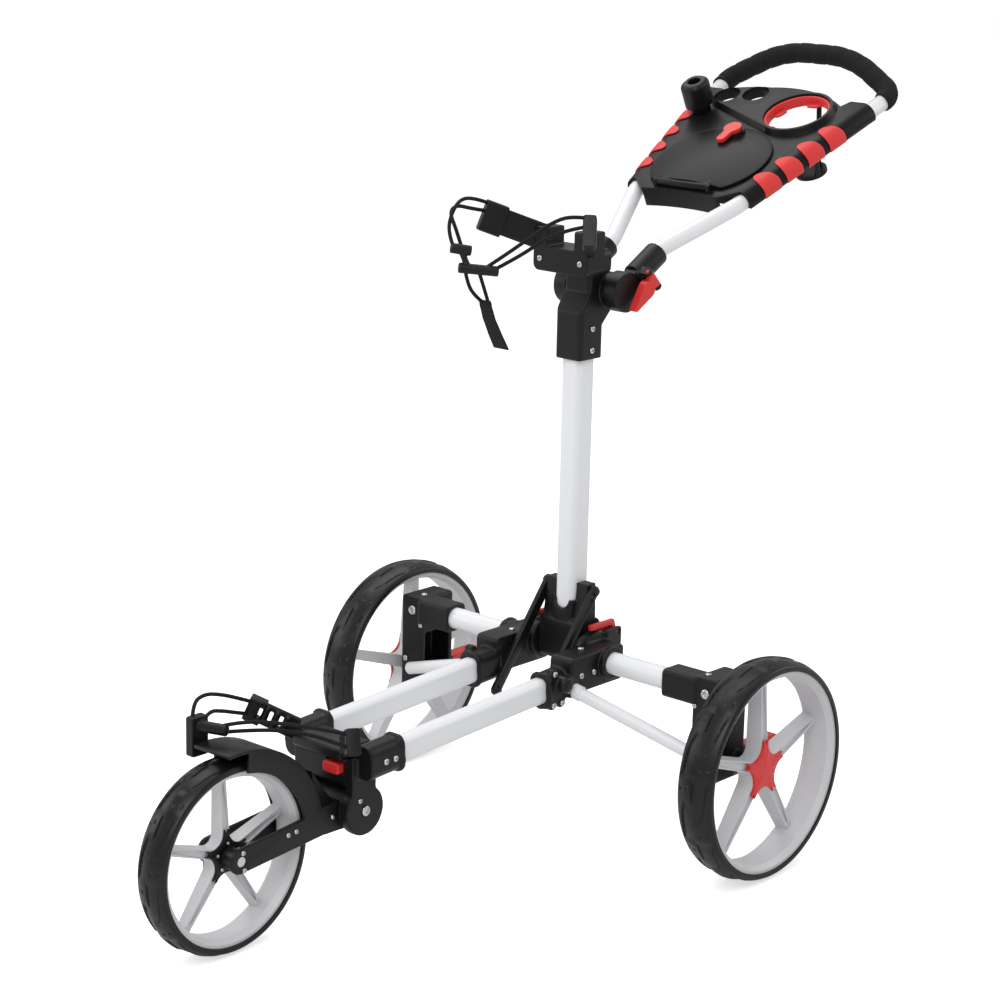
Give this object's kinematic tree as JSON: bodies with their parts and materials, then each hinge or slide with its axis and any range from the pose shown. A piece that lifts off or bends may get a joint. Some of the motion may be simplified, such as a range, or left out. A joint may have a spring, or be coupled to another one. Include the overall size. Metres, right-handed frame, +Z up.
{
  "type": "golf push cart",
  "caption": "Folding golf push cart with spoked wheels, folding mast and front fork, bag cradles with elastic straps, and a hinged handle with a storage console and cup holder.",
  "frame": {"origin": "on the ground, under the middle of the cart's box", "axes": "+Z up, front wheel towards -Y, handle towards +Y, +X to the right-hand rear wheel as seen from the front"},
  "size_m": [0.668, 1.248, 0.997],
  "materials": {
    "white_paint": "satin white coating",
    "black_plastic": "fine-grained black moulding",
    "red_plastic": "smooth red moulding",
    "red_rubber": "soft red rubber",
    "tyre": "smooth black foam-filled tyre",
    "white_rim": "semi-gloss white moulding",
    "grip_foam": "matt wrapped foam",
    "strap": "woven elastic",
    "steel": "zinc-plated"
  },
  "bodies": {
    "chassis": {"rail_left": "white_paint", "rail_right": "white_paint", "leg_tube_left": "white_paint", "leg_tube_right": "white_paint", "strut_left": "white_paint", "strut_right": "white_paint", "hub_block_left": "black_plastic", "hub_block_right": "black_plastic", "mast_pivot_pin": "steel", "wheel_bracket_left": "black_plastic", "wheel_bracket_right": "black_plastic", "rear_axle_left": "steel", "rear_axle_right": "steel", "front_bracket": "black_plastic", "lower_cradle": "black_plastic", "fork_pivot_pin": "steel", "chassis_screws": "steel", "lower_cords_left": "strap", "lower_cords_right": "strap", "strap_buckle": "black_plastic"},
    "front_fork": {"front_fork": "black_plastic", "front_axle": "steel"},
    "front_wheel": {"front_tyre": "tyre", "front_rim": "white_rim", "front_hub_cap": "black_plastic"},
    "left_wheel": {"rear_tyre_left": "tyre", "rear_rim_left": "white_rim", "rear_hub_cap_left": "red_plastic"},
    "right_wheel": {"rear_tyre_right": "tyre", "rear_rim_right": "white_rim", "rear_hub_cap_right": "red_plastic"},
    "mast": {"mast_tube": "white_paint", "mast_collar": "black_plastic", "mast_head": "black_plastic", "upper_cradle": "black_plastic", "upper_arm_left": "black_plastic", "upper_arm_right": "black_plastic", "mast_screws": "steel", "upper_cords_left": "strap", "upper_cords_right": "strap", "strap_slider": "black_plastic", "pull_tab": "strap"},
    "fold_links": {"fold_link_left": "black_plastic", "fold_link_right": "black_plastic"},
    "mast_release": {"mast_release": "red_plastic"},
    "front_release": {"front_release": "red_plastic"},
    "brake_pedal_left": {"brake_pedal_left": "red_plastic"},
    "brake_pedal_right": {"brake_pedal_right": "red_plastic"},
    "handle": {"handle_tube": "white_paint", "handle_grip": "grip_foam", "handle_clamp_left": "black_plastic", "handle_clamp_right": "black_plastic", "console_tray": "black_plastic", "cup_ring": "red_rubber", "console_inserts": "red_rubber"},
    "console_lid": {"console_lid": "black_plastic"},
    "lid_latch": {"lid_latch": "red_plastic"},
    "umbrella_holder": {"umbrella_holder": "black_plastic"},
    "cam_lever": {"cam_lever": "red_plastic"}
  },
  "joints": [
    {"name": "front_fork_fold", "type": "hinge", "parent": "chassis", "child": "front_fork", "pos_m": [0, -0.322, 0.137], "axis": [1, 0, 0], "range_deg": [0, 160]},
    {"name": "front_wheel_spin", "type": "hinge", "parent": "front_fork", "child": "front_wheel", "pos_m": [0, -0.505, 0.119], "axis": [1, 0, 0], "continuous": true},
    {"name": "left_wheel_spin", "type": "hinge", "parent": "chassis", "child": "left_wheel", "pos_m": [-0.308, 0.12, 0.143], "axis": [1, 0, 0], "continuous": true},
    {"name": "right_wheel_spin", "type": "hinge", "parent": "chassis", "child": "right_wheel", "pos_m": [0.308, 0.12, 0.143], "axis": [1, 0, 0], "continuous": true},
    {"name": "mast_fold", "type": "hinge", "parent": "chassis", "child": "mast", "pos_m": [0, 0.103, 0.241], "axis": [1, 0, 0], "range_deg": [0, 66]},
    {"name": "link_swing", "type": "hinge", "parent": "mast", "child": "fold_links", "pos_m": [0, 0.109, 0.319], "axis": [1, 0, 0], "range_deg": [-87, 0]},
    {"name": "mast_release_lift", "type": "hinge", "parent": "chassis", "child": "mast_release", "pos_m": [0, 0.14, 0.262], "axis": [-1, 0, 0], "range_deg": [0, 15], "stiffness_Nm_per_rad": 0.6, "springref_deg": -5.73},
    {"name": "front_release_push", "type": "slide", "parent": "chassis", "child": "front_release", "axis": [0, 1, 0], "range_m": [0, 0.005], "stiffness_N_per_m": 400, "springref_m": -0.004},
    {"name": "left_brake", "type": "hinge", "parent": "chassis", "child": "brake_pedal_left", "pos_m": [-0.258, 0.142, 0.152], "axis": [-1, 0, 0], "range_deg": [0, 20], "stiffness_Nm_per_rad": 0.5, "springref_deg": -5.73},
    {"name": "right_brake", "type": "hinge", "parent": "chassis", "child": "brake_pedal_right", "pos_m": [0.258, 0.142, 0.152], "axis": [-1, 0, 0], "range_deg": [0, 20], "stiffness_Nm_per_rad": 0.5, "springref_deg": -5.73},
    {"name": "handle_fold", "type": "hinge", "parent": "mast", "child": "handle", "pos_m": [0, 0.143, 0.71], "axis": [1, 0, 0], "range_deg": [-100, 15]},
    {"name": "cam_lever_open", "type": "hinge", "parent": "handle", "child": "cam_lever", "pos_m": [0.064, 0.176, 0.725], "axis": [0, -0.6971, 0.717], "range_deg": [0, 80]},
    {"name": "lid_open", "type": "hinge", "parent": "handle", "child": "console_lid", "pos_m": [0, 0.31325, 0.82779], "axis": [1, 0, 0], "range_deg": [0, 100]},
    {"name": "latch_turn", "type": "hinge", "parent": "console_lid", "child": "lid_latch", "pos_m": [0, 0.42051, 0.89068], "axis": [0, -0.4406, 0.8977], "range_deg": [0, 90]},
    {"name": "umbrella_swivel", "type": "hinge", "parent": "handle", "child": "umbrella_holder", "pos_m": [-0.102, 0.48252, 0.90507], "axis": [0, -0.4406, 0.8977], "range_deg": [-90, 90]}
  ],
  "couplings": [
    {"joint": "link_swing", "follows": "mast_fold", "ratio": -1.307}
  ]
}
